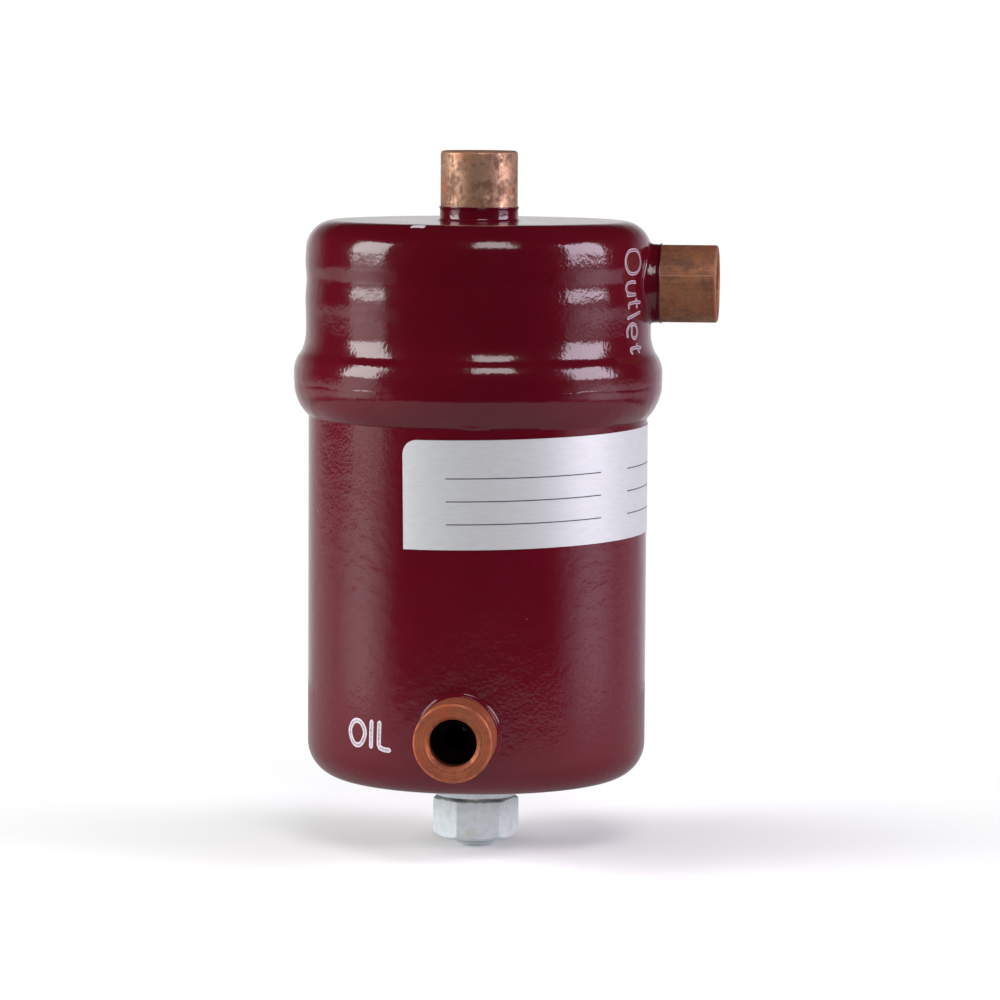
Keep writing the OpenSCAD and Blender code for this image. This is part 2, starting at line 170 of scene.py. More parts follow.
# %% Flecks, relief and the start of a finish
def flecks(place, cell, radius, share):
    """Round specks of a radius in metres, in a share of the cells of a loose grid."""
    grid = {"Vector": place, "Scale": 1 / cell}
    near = place.node("ShaderNodeTexVoronoi", None, grid)
    pick = place.node("ShaderNodeTexVoronoi", None, grid, "Color")
    lucky = place.node("ShaderNodeSeparateColor", None, {0: pick})
    chosen = rising(lucky, 1 - share, 1.001 - share)
    return (1 - rising(near, 0.6 * radius / cell, radius / cell)) * chosen


def relief(height, depth):
    """A bump that is depth metres high where height is 1."""
    return height.node("ShaderNodeBump", None, {"Strength": 1.0, "Distance": depth, "Height": height})


def finish(name, **constants):
    """Starts a material: returns it, a function that links its sockets, and its Object place."""
    material = bpy.data.materials.new(name)
    material.use_nodes = True
    shader = material.node_tree.nodes["Principled BSDF"]
    for socket, value in constants.items():
        shader.inputs[socket.replace("_", " ")].default_value = value
    place = Wire(material.node_tree).node("ShaderNodeTexCoord", output="Object")

    def feed(**wires):
        for socket, wire in wires.items():
            material.node_tree.links.new(wire.socket, shader.inputs[socket.replace("_", " ")])

    return material, feed, place


print("patterns: flecks, relief")

# %% [markdown]
# ## The maroon enamel
# The can was sprayed after welding, in one thick glossy coat. Sprayed enamel is never quite
# smooth: it keeps a faint skin like an orange's, and dust settles in it. The skin could be
# modelled, but it is only microns deep, so a bump does it, in two sizes of ripple. Spatter from
# the weld shows in a band below it, and low down the coat is painted a shade redder and lighter,
# as painted light for the stronger side light on the lower cup.

# %% Enamel
enamel, feed, place = finish("maroon_enamel", IOR=1.5)
wet_side = rising(clouds(place, 26.0, 1.0), 0.35, 0.65)
skin = (0.5 + 0.9 * wet_side) * clouds(place, 1400.0, 1.0) + 2.2 * clouds(place, 300.0, 1.0)
dust = flecks(place, 0.0052, 0.00012, 0.5)
height = place.node("ShaderNodeSeparateXYZ", None, {0: place}, "Z")
under_weld = rising(height, 0.0655, 0.0735) * (1 - rising(height, 0.0750, 0.0765))
spatter = flecks(place, 0.0021, 0.00022, 0.4) * under_weld
drift = clouds(place, 24.0, 3.0)
# Low down the coat is painted redder and lighter, as painted light for the stronger side light there.
low_down = 1 - rising(height, 0.05, 0.095)
coat_and_painted_light = tint(rising(drift + 0.25 * low_down, 0.3, 0.9), (0.058, 0.0014, 0.0051), (0.078, 0.0021, 0.0076))
feed(Base_Color=tint(dust, coat_and_painted_light, (0.36, 0.22, 0.22)),
     Roughness=0.10 + 0.06 * clouds(place, 90.0, 2.0) + 0.3 * dust,
     Normal=relief(skin + 0.7 * dust + 1.1 * spatter, 2.8e-5))
print("finish:", enamel.name)

# %% [markdown]
# ## Copper, turned and tarnished
# The three fittings are cut from drawn copper. Drawing leaves fine lines along the tube, the lathe
# leaves rings on its end, and handling leaves brown clouds and a few bright rubs. The rim's edge
# gets a thin painted highlight, and the bore is painted near-black as painted shade. One function
# makes the finish for each fitting, because the lines have to follow that fitting's own axis.
# It splits each point's place into a part along the axis and a part across it.

# %% Copper for a fitting that points along axis and ends at reach
FITTING_R, GAS_SOCKET_R, OIL_SOCKET_R = 7.94, 6.4, 4.8
INLET_END, OUTLET_END, OIL_END = 129.3, 49.325, 46.925
OUTLET_Z, OIL_Z = 102.4, 13.0
BORE_SHADE = (0.012, 0.005, 0.004)


def vector_maths(place, operation, a, b, output=0):
    return place.node("ShaderNodeVectorMath", {"operation": operation}, {0: a, 1: b}, output)


def scaled(place, vector, factor):
    return place.node("ShaderNodeVectorMath", {"operation": "SCALE"}, {0: vector, "Scale": factor})


def copper(name, axis, centre, reach, mouth, mark, bare, brown, shine, streaks):
    """Mark is the side that has a long scratch; shine and streaks are shares of 1."""
    material, feed, place = finish(name)
    local = vector_maths(place, "SUBTRACT", place, centre)
    along = vector_maths(place, "DOT_PRODUCT", local, axis, "Value")
    lengthwise = scaled(place, axis, along)
    across = vector_maths(place, "SUBTRACT", local, lengthwise)
    radius = vector_maths(place, "LENGTH", across, (0, 0, 0), "Value")
    face = rising(along, reach - 0.0006, reach - 0.0002)
    drawn = clouds(vector_maths(place, "ADD", across, scaled(place, lengthwise, 0.07)), 2300.0, 3.0)
    rings = place.node("ShaderNodeTexNoise", {"noise_dimensions": "1D"},
                       {"W": radius, "Scale": 4200.0, "Detail": 2.0})
    beside = vector_maths(place, "DOT_PRODUCT", across, Vector(axis).cross(Vector(mark)), "Value")
    facing = rising(vector_maths(place, "DOT_PRODUCT", across, mark, "Value"), 0.0, 0.004)
    scratch = (1 - rising(place.maths("ABSOLUTE", beside), 0.00004, 0.00018)) * facing * (1 - face)
    # A thin painted highlight along the rim's edge, where a small chamfer would catch the light.
    painted_rim_highlight = rising(along - reach + radius - FITTING_R * MM, -0.00055, -0.00022)
    deep = 1 - rising(along, reach - 0.006, reach - 0.0012)
    # Inside the bore the copper is painted near-black, as painted shade in the hole.
    inside = (1 - rising(radius, mouth, mouth + 0.0002)) * deep
    stain = clouds(place, 210.0, 6.0, 0.66) + 0.5 * (clouds(place, 1000.0, 3.0) - 0.5)
    stain = stain + (streaks * (drawn - 0.5) - 0.2 * scratch) * (1 - face) + 0.9 * (rings - 0.5) * face
    tarnish = rising(stain, 0.34, 0.66)
    flush = 0.7 * rising(clouds(place, 170.0, 3.0), 0.54, 0.68)
    rubs = rising(clouds(place, 430.0, 3.0), 0.61, 0.73) * (1 - face)
    bright = place.maths("MAXIMUM", rubs, 0.7 * scratch)
    bright = place.maths("MAXIMUM", bright, shine * painted_rim_highlight * rising(clouds(place, 380.0, 3.0), 0.3, 0.6))
    copper_tone = tint(flush, tint(tarnish, bare, brown), (0.85 * bare[0], 0.55 * bare[1], 0.42 * bare[2]))
    copper_tone = tint(bright, copper_tone, [min(1, 1.4 * c) for c in bare])
    feed(Base_Color=tint(inside, copper_tone, BORE_SHADE),
         Roughness=0.62 - 0.24 * shine + 0.16 * tarnish - 0.14 * bright,
         Metallic=place.maths("MAXIMUM", inside, shine * (1 - 0.3 * tarnish)),
         Normal=relief(drawn * (1 - face) + 2.0 * rings * face - 2.0 * scratch, 9.0e-6))
    return material


inlet_copper = copper("inlet_copper", (0, 0, 1), (0, 0, 0), INLET_END * MM, GAS_SOCKET_R * MM, (0, 1, 0),
                      bare=(0.45, 0.265, 0.172), brown=(0.155, 0.075, 0.047), shine=0.8, streaks=0.2)
outlet_copper = copper("outlet_copper", (1, 0, 0), (0, 0, OUTLET_Z * MM), OUTLET_END * MM,
                       GAS_SOCKET_R * MM, (0, -0.967, 0.255),
                       bare=(0.265, 0.104, 0.045), brown=(0.138, 0.054, 0.029), shine=0.42, streaks=0.5)
oil_copper = copper("oil_copper", (0, -1, 0), (0, 0, OIL_Z * MM), OIL_END * MM,
                    OIL_SOCKET_R * MM, (0, 0, -1),
                    bare=(0.40, 0.110, 0.046), brown=(0.205, 0.053, 0.025), shine=0.65, streaks=0.4)
print("finishes:", inlet_copper.name, outlet_copper.name, oil_copper.name)

# %% [markdown]
# ## Bright zinc and marker
# Nut, washer and stud are plated with zinc, pale and a little blue, with a mottle of crystals and
# some dull spots, and a dark ragged band of painted shade sits in the joint between nut and washer.
# The port words are strokes of a paint marker, which the pen's own edges leave thick and its middle
# wipes thin.

# %% Zinc
zinc, feed, place = finish("bright_zinc")
mottle = clouds(place, 700.0, 4.0, 0.6)
crystals = place.node("ShaderNodeTexVoronoi", None, {"Vector": place, "Scale": 900.0}, "Color")
facet = place.node("ShaderNodeSeparateColor", None, {0: crystals})
dull = rising(clouds(place, 330.0, 4.0), 0.52, 0.72)
plate = tint(rising(mottle, 0.3, 0.7), (0.555, 0.615, 0.64), (0.65, 0.70, 0.72))
plate = tint(0.7 * dull, plate, (0.55, 0.55, 0.505))
height = place.node("ShaderNodeSeparateXYZ", None, {0: place}, "Z")
# The dark ragged band where nut meets washer is painted shade for the crevice between them.
joint = height + 0.0016 * (clouds(place, 330.0, 4.0) - 0.5)
painted_joint_shade = rising(joint, -0.0049, -0.0046) * (1 - rising(joint, -0.0042, -0.0039))
feed(Base_Color=tint(0.8 * painted_joint_shade, plate, (0.06, 0.07, 0.065)),
     Roughness=0.34 + 0.06 * facet + 0.16 * dull,
     Metallic=0.1 - 0.05 * dull,
     Normal=relief(mottle + 0.4 * facet, 8.0e-6))
print("finish:", zinc.name)

# %% Marker paint
marker, feed, place = finish("marker_paint")
patchy = clouds(place, 1700.0, 3.0)
middle = place.node("ShaderNodeAttribute", {"attribute_name": "middle"}, None, "Fac")
thinned = rising(middle + 0.4 * (patchy - 0.5), 0.7, 1.0)
feed(Base_Color=tint(thinned, (0.47, 0.43, 0.48), (0.13, 0.06, 0.09)),
     Roughness=0.35 + 0.3 * patchy,
     Normal=relief(patchy, 1.2e-5))
print("finish:", marker.name)

# %% [markdown]
# ## A pen for lathe work
# Nearly every piece of this object is turned, so half of its section is enough. The pen starts
# from one vertex: extruding the vertex draws a line, and spinning it draws an arc. Spinning the
# finished section round the axis makes the piece. A full spin has to merge its last step.


# %% The pen
class Pen:
    """Draws half a section: x is the distance from the axis and z the height."""

    def __init__(self, r, z):
        self.bm = bmesh.new()
        self.start = self.tip = self.bm.verts.new((r, 0, z))

    def line(self, r, z, steps=1):
        stride = (Vector((r, 0, z)) - self.tip.co) / steps
        for _ in range(steps):
            self.tip = bmesh.ops.extrude_vert_indiv(self.bm, verts=[self.tip])["verts"][0]
            bmesh.ops.translate(self.bm, vec=stride, verts=[self.tip])
        return self

    def lines(self, *points):
        for r, z in points:
            self.line(r, z)
        return self

    def arc(self, r, z, degrees, steps=10):
        """An arc round r, z; positive degrees turn against the clock."""
        spun = bmesh.ops.spin(self.bm, geom=[self.tip], cent=(r, 0, z), axis=(0, -1, 0),
                              angle=math.radians(degrees), steps=steps)
        self.tip = next(v for v in spun["geom_last"] if isinstance(v, bmesh.types.BMVert))
        return self

    def turn(self, steps):
        """Closes the section and spins it round the axis."""
        self.bm.edges.new((self.tip, self.start))
        bmesh.ops.spin(self.bm, geom=self.bm.verts[:] + self.bm.edges[:], cent=(0, 0, 0),
                       axis=(0, 0, 1), angle=math.tau, steps=steps, use_merge=True)
        return self.bm


print("pen:", [n for n in vars(Pen) if not n.startswith("_")])

# %% [markdown]
# ## From bmesh to dressed piece
# Spun points on the axis lie on top of each other, so doubles are merged before the normals are
# set. Holes are cut with a Boolean that is applied at once, which leaves no helper objects behind,
# and the slivers that such a cut can leave are dissolved. The last helper shrinks the piece to
# metres, gives it its finish and lets it ride on the vessel.


# %% Solid and cut
SAME_POINT, SLIVER = 1e-4, 1e-3


def solid(bm, name):
    bmesh.ops.remove_doubles(bm, verts=bm.verts, dist=SAME_POINT)
    bmesh.ops.recalc_face_normals(bm, faces=bm.faces)
    mesh = bpy.data.meshes.new(name)
    bm.to_mesh(mesh)
    bm.free()
    made = bpy.data.objects.new(name, mesh)
    bpy.context.scene.collection.objects.link(made)
    return made


def settle(made):
    """Replaces an object's mesh by what its modifiers make of it."""
    shaped = made.evaluated_get(bpy.context.evaluated_depsgraph_get())
    rough, made.data = made.data, bpy.data.meshes.new_from_object(shaped)
    made.modifiers.clear()
    bpy.data.meshes.remove(rough)


def cut(made, tool, operation="DIFFERENCE"):
    knife = made.modifiers.new("cut", "BOOLEAN")
    knife.operation, knife.object, knife.solver = operation, tool, "EXACT"
    settle(made)
    bpy.data.objects.remove(tool)
    cleaned = bmesh.new()
    cleaned.from_mesh(made.data)
    bmesh.ops.dissolve_degenerate(cleaned, dist=SLIVER, edges=cleaned.edges)
    cleaned.to_mesh(made.data)
    cleaned.free()
    return made


print("helpers:", solid.__name__, settle.__name__, cut.__name__)


# %% Dress, and the way to the two side fittings
def dress(made, material, slot, *nodes, sharp=38.0):
    made.data.transform(Matrix.Scale(MM, 4))
    made.data.shade_smooth()
    made.data.set_sharp_from_angle(angle=math.radians(sharp))
    made.data.materials.clear()
    made.data.materials.append(material)
    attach(made, "vessel")
    if nodes:
        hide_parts(*nodes)
    print(f"{made.name}: {len(made.data.polygons)} faces, {material.name}")
    return made


TO_OUTLET = Matrix.Translation((0, 0, OUTLET_Z)) @ Matrix.Rotation(math.radians(90), 4, "Y")
TO_OIL = Matrix.Translation((0, 0, OIL_Z)) @ Matrix.Rotation(math.radians(90), 4, "X")
print("outlet at", tuple(TO_OUTLET.translation), "oil at", tuple(TO_OIL.translation))

# %% [markdown]
# ## The upper cup
# The cup is deep drawn from flat sheet: a level top, a rounded corner, a straight side, and a bell
# that is flared over the lower cup. The flare runs out to 24 degrees, steps out and rolls over a
# crown. Ironing left the side a little wavy, which the highlights give away, so the side's points
# are set out to a wall function that other pieces can ask too.

# %% The upper cup's wall
UPPER_R, LOWER_R, BELL_R, SHEET = 35.525, 34.925, 37.975, 2.9
TOP_Z, CORNER_R, CORNER_Z = 115.0, 6.0, 109.0
FLARE_Z, FLARE_R, FLARE_TURN = 92.3, 10.2, 24
CROWN_Z, CROWN_R, CROWN_TURN, BELL_Z = 83.85, 6.8, 27, 81.4
WAVES = ((0.12, 106.2, 2.0), (-0.12, 103.0, 1.9), (0.13, 98.7, 2.2))


def swell(z, peak, middle, width):
    return peak * math.exp(-((z - middle) / width) ** 2)


def upper_wall(z):
    """Outside radius of the upper cup at a height, for whatever sits on it."""
    if z > CORNER_Z:
        return UPPER_R - CORNER_R + math.sqrt(max(0.0, CORNER_R ** 2 - (z - CORNER_Z) ** 2))
    if z < FLARE_Z:
        return UPPER_R + FLARE_R - math.sqrt(FLARE_R ** 2 - (FLARE_Z - z) ** 2)
    return UPPER_R + sum(swell(z, *wave) for wave in WAVES)


print("upper wall at the outlet:", round(upper_wall(OUTLET_Z), 3))

# %% Upper cup
HOLE_GAP, DRILL_END = 0.05, 45.0
INLET_HOLE_R = 8.0
STEP_FOOT = (37.234, 86.937)
FLARE_INSIDE = (33.4, 88.2)
LIP_START, LIP = 1.1, ((0.02, 0.8), (0.06, 0.5), (0.09, 0.0))


def drilled(made, placing, start):
    """Drills the hole for a side fitting, from a distance inside the wall outwards."""
    radius = FITTING_R + HOLE_GAP
    drill = Pen(0, start).lines((radius, start), (radius, DRILL_END), (0, DRILL_END)).turn(72)
    drill.transform(placing)
    return cut(made, solid(drill, "drill"))


pen = Pen(INLET_HOLE_R, TOP_Z).line(UPPER_R - CORNER_R, TOP_Z, 4)
pen.arc(UPPER_R - CORNER_R, CORNER_Z, -90, 20).line(UPPER_R, FLARE_Z, 34)
pen.arc(UPPER_R + FLARE_R, FLARE_Z, FLARE_TURN, 12).line(*STEP_FOOT, 3)
pen.arc(BELL_R - CROWN_R, CROWN_Z, -CROWN_TURN, 12).line(BELL_R, BELL_Z + LIP_START, 2)
pen.lines(*((BELL_R - drawn_in, BELL_Z + above) for drawn_in, above in LIP))
pen.lines((BELL_R - SHEET, BELL_Z), (BELL_R - SHEET, CROWN_Z), FLARE_INSIDE, (UPPER_R - SHEET, FLARE_Z))
pen.line(UPPER_R - SHEET, CORNER_Z, 8).arc(UPPER_R - CORNER_R, CORNER_Z, 90, 10)
pen.line(INLET_HOLE_R, TOP_Z - SHEET, 3)
for point in pen.bm.verts:
    if point.co.x > LOWER_R and FLARE_Z < point.co.z < CORNER_Z:
        point.co.x = upper_wall(point.co.z)
upper_cup = solid(pen.turn(180), "upper_cup")
dress(drilled(upper_cup, TO_OUTLET, start=20.0), enamel, "paint", "upper_shell")

# %% [markdown]
# ## The lower cup
# The lower cup is drawn the same way, with a wider corner, and slides up inside the bell. Only
# the oil fitting goes through its wall.

# %% Lower cup
FOOT_R, RIM_Z = 7.4, 84.4


def lower_wall(z):
    """Outside radius of the lower cup at a height."""
    return LOWER_R if z > FOOT_R else LOWER_R - FOOT_R + math.sqrt(FOOT_R ** 2 - (FOOT_R - z) ** 2)


pen = Pen(0, 0).line(LOWER_R - FOOT_R, 0, 6).arc(LOWER_R - FOOT_R, FOOT_R, 90, 16)
pen.line(LOWER_R, RIM_Z, 40).line(LOWER_R - SHEET, RIM_Z).line(LOWER_R - SHEET, FOOT_R, 12)
pen.arc(LOWER_R - FOOT_R, FOOT_R, -90, 8).line(0, SHEET, 3)
lower_cup = solid(pen.turn(180), "lower_cup")
dress(drilled(lower_cup, TO_OIL, start=25.0), enamel, "paint", "lower_shell")

# %% [markdown]
# ## The painted weld
# A fillet weld runs round under the bell. A hand on a torch is never perfectly steady, so the two
# edges of the bead wander by some tenths of a millimetre and its face swells and thins. The bead
# is spun first, and then its points are nudged by a noise that closes on itself round the can.

# %% Weld bead
BEAD_START = (35.2, 82.0)
BEAD_HEAD = ((37.86, 82.0), (37.9, 81.8), (37.91, 81.4), (37.9, 80.9), (37.84, 80.2))
BEAD_FACE, BEAD_SWEEP = (27.153, 82.17), 32
BEAD_TOE = ((34.95, 74.5), (34.5, 74.4), (34.5, 82.0))
BEAD_SKIN_R, HEAD_Z, HEAD_TALL, TOE_Z, TOE_TALL = 34.7, 80.0, 2.2, 77.0, 2.5
FACE_SWELL, FACE_RIPPLE = 0.05, 0.03
HEAD_WANDER, TOE_WANDER, TOE_TILT = 0.4, 0.35, 0.22


def wander(angle, beat, seed):
    """A smooth random number between about -1 and 1 that repeats after a full turn."""
    return noise.noise(Vector((beat * math.cos(angle), beat * math.sin(angle), seed)))


pen = Pen(*BEAD_START).lines(*BEAD_HEAD).arc(*BEAD_FACE, -BEAD_SWEEP, 14).lines(*BEAD_TOE)
bead = pen.turn(240)
for point in bead.verts:
    around = math.atan2(point.co.y, point.co.x)
    radial = Vector((point.co.x, point.co.y, 0)).normalized()
    head = max(0, (point.co.z - HEAD_Z) / HEAD_TALL)
    toe = max(0, (TOE_Z - point.co.z) / TOE_TALL)
    bulge = FACE_SWELL * wander(around, 9.0, 1.7)
    bulge += FACE_RIPPLE * wander(around, 26.0, point.co.z / 2.0)
    if point.co.xy.length > BEAD_SKIN_R:
        point.co += radial * bulge * (1 - 0.6 * toe)
        point.co.z += HEAD_WANDER * wander(around, 5.0, 4.1) * head
        point.co.z += (TOE_WANDER * wander(around, 4.0, 8.3) - TOE_TILT * math.cos(around)) * toe
dress(solid(bead, "weld_bead"), enamel, "paint", "girth_weld", sharp=60)

# %% [markdown]
# ## Three copper fittings
# Each fitting is a short tube with a socket for the pipe that is brazed in later: a rounded rim, a
# chamfered mouth, a stop at the end of the socket and a narrower bore behind it. They differ only
# in their sizes, so one function draws the end that shows, and each adds the end that is hidden.

# %% Fittings
GAS_BORE_R, GAS_DEPTH, GAS_CHAMFER = 5.1, 9.5, 0.4
OIL_BORE_R, OIL_DEPTH, OIL_CHAMFER = 2.5, 8.0, 0.65
NECK_R, NECK_LOW, NECK_HIGH = 6.9, 103.6, TOP_Z - SHEET
SPIGOT_R, SPIGOT_START, SPIGOT_END = 5.0, 26.525, 30.525
OUTLET_START = 30.625


def socket_end(pen, end, socket, depth, bore, chamfer, rim):
    """The outer end of a fitting, from its side in to the bore."""
    pen.line(FITTING_R, end - rim, 6).arc(FITTING_R - rim, end - rim, 90, 6)
    pen.line(socket + chamfer, end, 2).line(socket, end - chamfer).line(socket, end - depth, 4)
    return pen.line(bore, end - depth)


pen = Pen(GAS_BORE_R, NECK_LOW).lines((NECK_R, NECK_LOW), (NECK_R, NECK_HIGH), (FITTING_R, NECK_HIGH))
inlet = socket_end(pen, INLET_END, GAS_SOCKET_R, GAS_DEPTH, GAS_BORE_R, GAS_CHAMFER, rim=0.7).turn(96)
dress(solid(inlet, "inlet_socket"), inlet_copper, "copper", "inlet_fitting")

pen = Pen(GAS_BORE_R, OUTLET_START).line(FITTING_R, OUTLET_START)
outlet = socket_end(pen, OUTLET_END, GAS_SOCKET_R, GAS_DEPTH, GAS_BORE_R, GAS_CHAMFER, rim=0.6).turn(96)
outlet.transform(TO_OUTLET)
dress(solid(outlet, "outlet_socket"), outlet_copper, "copper", "outlet_fitting")

pen = Pen(OIL_BORE_R, SPIGOT_START)
pen.lines((SPIGOT_R, SPIGOT_START), (SPIGOT_R, SPIGOT_END), (FITTING_R, SPIGOT_END))
oil = socket_end(pen, OIL_END, OIL_SOCKET_R, OIL_DEPTH, OIL_BORE_R, OIL_CHAMFER, rim=0.35).turn(96)
oil.transform(TO_OIL)
dress(solid(oil, "oil_socket"), oil_copper, "copper", "oil_fitting")

# %% [markdown]
# ## Braze fillets and the edge of the paint
# Round each fitting the braze makes a small hollow fillet, and the enamel runs over it and up the
# copper until the masking tape stopped it. Paint piles up against tape, so the coat ends in a
# little ridge. Fillet, coat and ridge are one section here. On the curved walls the spun ring is
# pushed down onto the wall, fully at its foot and not at all above the fillet.

# %% A painted fillet
LEG, HOLLOW, TOE_GAP, SUNK, OVERLAP, COAT = 0.6, 86, 0.15, 0.6, 0.05, 0.02
FILM, RIDGE_FOOT, WAVY_EDGE, TAPE_WANDER = 0.1, 0.5, 0.55, 0.14
RIDGE = ((0.2, -0.3), (0.3, -0.12), (0.27, 0.06), (0.12, 0.1), (-0.05, 0.04))


def painted_fillet(seat, tape, seed):
    """A fillet on a flat wall at seat, with the coat's wavy edge at tape."""
    toe = FITTING_R + LEG + TOE_GAP
    pen = Pen(FITTING_R - OVERLAP, seat - SUNK).lines((toe, seat - SUNK), (toe, seat + COAT))
    pen.arc(toe, seat + COAT + LEG, -HOLLOW, 10).line(FITTING_R + FILM, tape - RIDGE_FOOT, 3)
    pen.lines(*((FITTING_R + proud, tape + above) for proud, above in RIDGE))
    ring = pen.turn(96)
    for point in ring.verts:
        if point.co.z > tape - WAVY_EDGE:
            point.co.z += TAPE_WANDER * wander(math.atan2(point.co.y, point.co.x), 1.6, seed)
    return ring


def foot_share(point, seat):
    """1 at the fillet's foot, 0 above the fillet, and level at both ends."""
    share = min(1.0, max(0.0, (seat + LEG - point.co.z) / LEG))
    return share * share * (3 - 2 * share)


print("fillet leg:", LEG)

# %% Three painted fillets
ring = painted_fillet(TOP_Z, tape=117.75, seed=2.2)
dress(solid(ring, "inlet_fillet"), enamel, "paint", "inlet_braze", sharp=70)

ring = painted_fillet(UPPER_R, tape=37.75, seed=5.2)
for point in ring.verts:
    wall = upper_wall(OUTLET_Z - point.co.x)
    point.co.z += (math.sqrt(wall ** 2 - point.co.y ** 2) - UPPER_R) * foot_share(point, UPPER_R)
ring.transform(TO_OUTLET)
dress(solid(ring, "outlet_fillet"), enamel, "paint", "outlet_braze", sharp=70)

ring = painted_fillet(LOWER_R, tape=36.7, seed=7.9)
for point in ring.verts:
    wall = lower_wall(OIL_Z + point.co.y)
    point.co.z += (math.sqrt(wall ** 2 - point.co.x ** 2) - LOWER_R) * foot_share(point, LOWER_R)
ring.transform(TO_OIL)
dress(solid(ring, "oil_fillet"), enamel, "paint", "oil_braze", sharp=70)

# %% [markdown]
# ## Nut, lock washer and stud
# A hexagon nut is made from a turned blank with both ends coned, and the six flats are cut
# into it: the curved edges of its chamfers come from that meeting. So the blank is spun and then
# kept only where a six-sided prism is. A small Bevel modifier breaks the edges.

# %% Hexagon nut
NUT_LOW, NUT_HIGH, NUT_TURN, FLAT_R = -12.95, -4.1, 39, 7.7
NUT_HOLE_R, NUT_MOUTH_R, MOUTH_DEEP = 4.45, 4.9, 0.5
LOW_LAND_R, LOW_CONE = FLAT_R - 0.7, 1.65
HIGH_LAND_R, HIGH_CONE = FLAT_R - 0.15, 1.25
NUT_CORNER_R, SPARE, BROKEN_EDGE = FLAT_R / math.cos(math.radians(30)), 1.0, 0.14
blank_r = NUT_CORNER_R + SPARE
pen = Pen(NUT_HOLE_R, NUT_LOW + MOUTH_DEEP).lines((NUT_MOUTH_R, NUT_LOW), (LOW_LAND_R, NUT_LOW))
pen.lines((blank_r, NUT_LOW + LOW_CONE), (blank_r, NUT_HIGH - HIGH_CONE), (HIGH_LAND_R, NUT_HIGH))
pen.lines((NUT_MOUTH_R, NUT_HIGH), (NUT_HOLE_R, NUT_HIGH - MOUTH_DEEP))
nut = solid(pen.turn(96), "hexagon_nut")
prism = bmesh.new()
turned = Matrix.Rotation(math.radians(NUT_TURN), 4, "Z")
bmesh.ops.create_circle(prism, cap_ends=True, radius=NUT_CORNER_R, segments=6,
                        matrix=Matrix.Translation((0, 0, NUT_LOW - SPARE)) @ turned)
grown = bmesh.ops.extrude_face_region(prism, geom=prism.faces[:])["geom"]
bmesh.ops.translate(prism, vec=(0, 0, NUT_HIGH - NUT_LOW + 2 * SPARE),
                    verts=[v for v in grown if isinstance(v, bmesh.types.BMVert)])
cut(nut, solid(prism, "flats"), "INTERSECT")
broken = nut.modifiers.new("broken edges", "BEVEL")
broken.width, broken.segments = BROKEN_EDGE, 2
broken.limit_method, broken.angle_limit = "ANGLE", math.radians(25)
settle(nut)
dress(nut, zinc, "zinc", "hex_nut", sharp=30)

# %% [markdown]
# A spring lock washer is one turn of nearly square wire, cut on the slant. Its section is drawn
# leaning, so that a spin of a little less than a full turn leaves both ends slanted. The section's
# own face closes the first end and is carried round to close the last.

# %% Lock washer
WASHER_LOW, WASHER_HIGH, WASHER_IN, WASHER_OUT = -4.06, -1.38, 5.0, 8.5
SLANT, SPLIT_AT, SPLIT, WIRE_ROUND = 0.55, 98, 16, 0.28
washer = bmesh.new()
corners = [washer.verts.new(spot) for spot in
           ((WASHER_IN, -SLANT, WASHER_LOW), (WASHER_OUT, -SLANT, WASHER_LOW),
            (WASHER_OUT, SLANT, WASHER_HIGH), (WASHER_IN, SLANT, WASHER_HIGH))]
section = washer.faces.new(corners)
bmesh.ops.bevel(washer, geom=section.verts[:], offset=WIRE_ROUND, segments=2, profile=0.5,
                affect="VERTICES", material=-1)
bmesh.ops.rotate(washer, cent=(0, 0, 0), matrix=Matrix.Rotation(math.radians(SPLIT_AT), 3, "Z"),
                 verts=washer.verts)
bmesh.ops.spin(washer, geom=washer.verts[:] + washer.edges[:] + washer.faces[:], cent=(0, 0, 0),
               axis=(0, 0, 1), angle=math.radians(360 - SPLIT), steps=96)
dress(solid(washer, "lock_washer_turn"), zinc, "zinc", "lock_washer", sharp=50)

# %% [markdown]
# The stud is a weld stud with a coarse thread. A thread is a small notch that climbs while it
# goes round, which is a spin with a lift at each step. The helix is made too long, so that it can
# be sliced where all of it is there. The slices are filled, a turned blank with a coned point
# trims it to length, and the weld flange is joined on.

# %% The thread
PITCH_OF_THREAD, TURNS, STEPS_PER_TURN, FIRST_TURN = 1.5875, 12, 36, -17.5875
ROOT_R, CREST_R, CREST_LOW, CREST_HIGH = 3.86, 4.7, 0.7, 0.88
SLICES = ((-15.2, (0, 0, -1)), (-0.2, (0, 0, 1)))
thread = Pen(ROOT_R, FIRST_TURN).line(CREST_R, FIRST_TURN + CREST_LOW)
thread.lines((CREST_R, FIRST_TURN + CREST_HIGH), (ROOT_R, FIRST_TURN + PITCH_OF_THREAD))
helix = thread.bm
bmesh.ops.spin(helix, geom=helix.verts[:] + helix.edges[:], cent=(0, 0, 0), axis=(0, 0, 1),
               angle=math.tau * TURNS, steps=STEPS_PER_TURN * TURNS,
               dvec=(0, 0, PITCH_OF_THREAD / STEPS_PER_TURN))
bmesh.ops.remove_doubles(helix, verts=helix.verts, dist=SAME_POINT)
for z, normal in SLICES:
    whole = helix.verts[:] + helix.edges[:] + helix.faces[:]
    bmesh.ops.bisect_plane(helix, geom=whole, plane_co=(0, 0, z), plane_no=normal, clear_outer=True)
    ends = [e for e in helix.edges if e.is_boundary]
    rim = [e for e in ends if all(abs(v.co.z - z) < SAME_POINT for v in e.verts)]
    bmesh.ops.contextual_create(helix, geom=rim)
stud = solid(helix, "stud_with_flange")
print("thread:", len(stud.data.polygons), "faces")

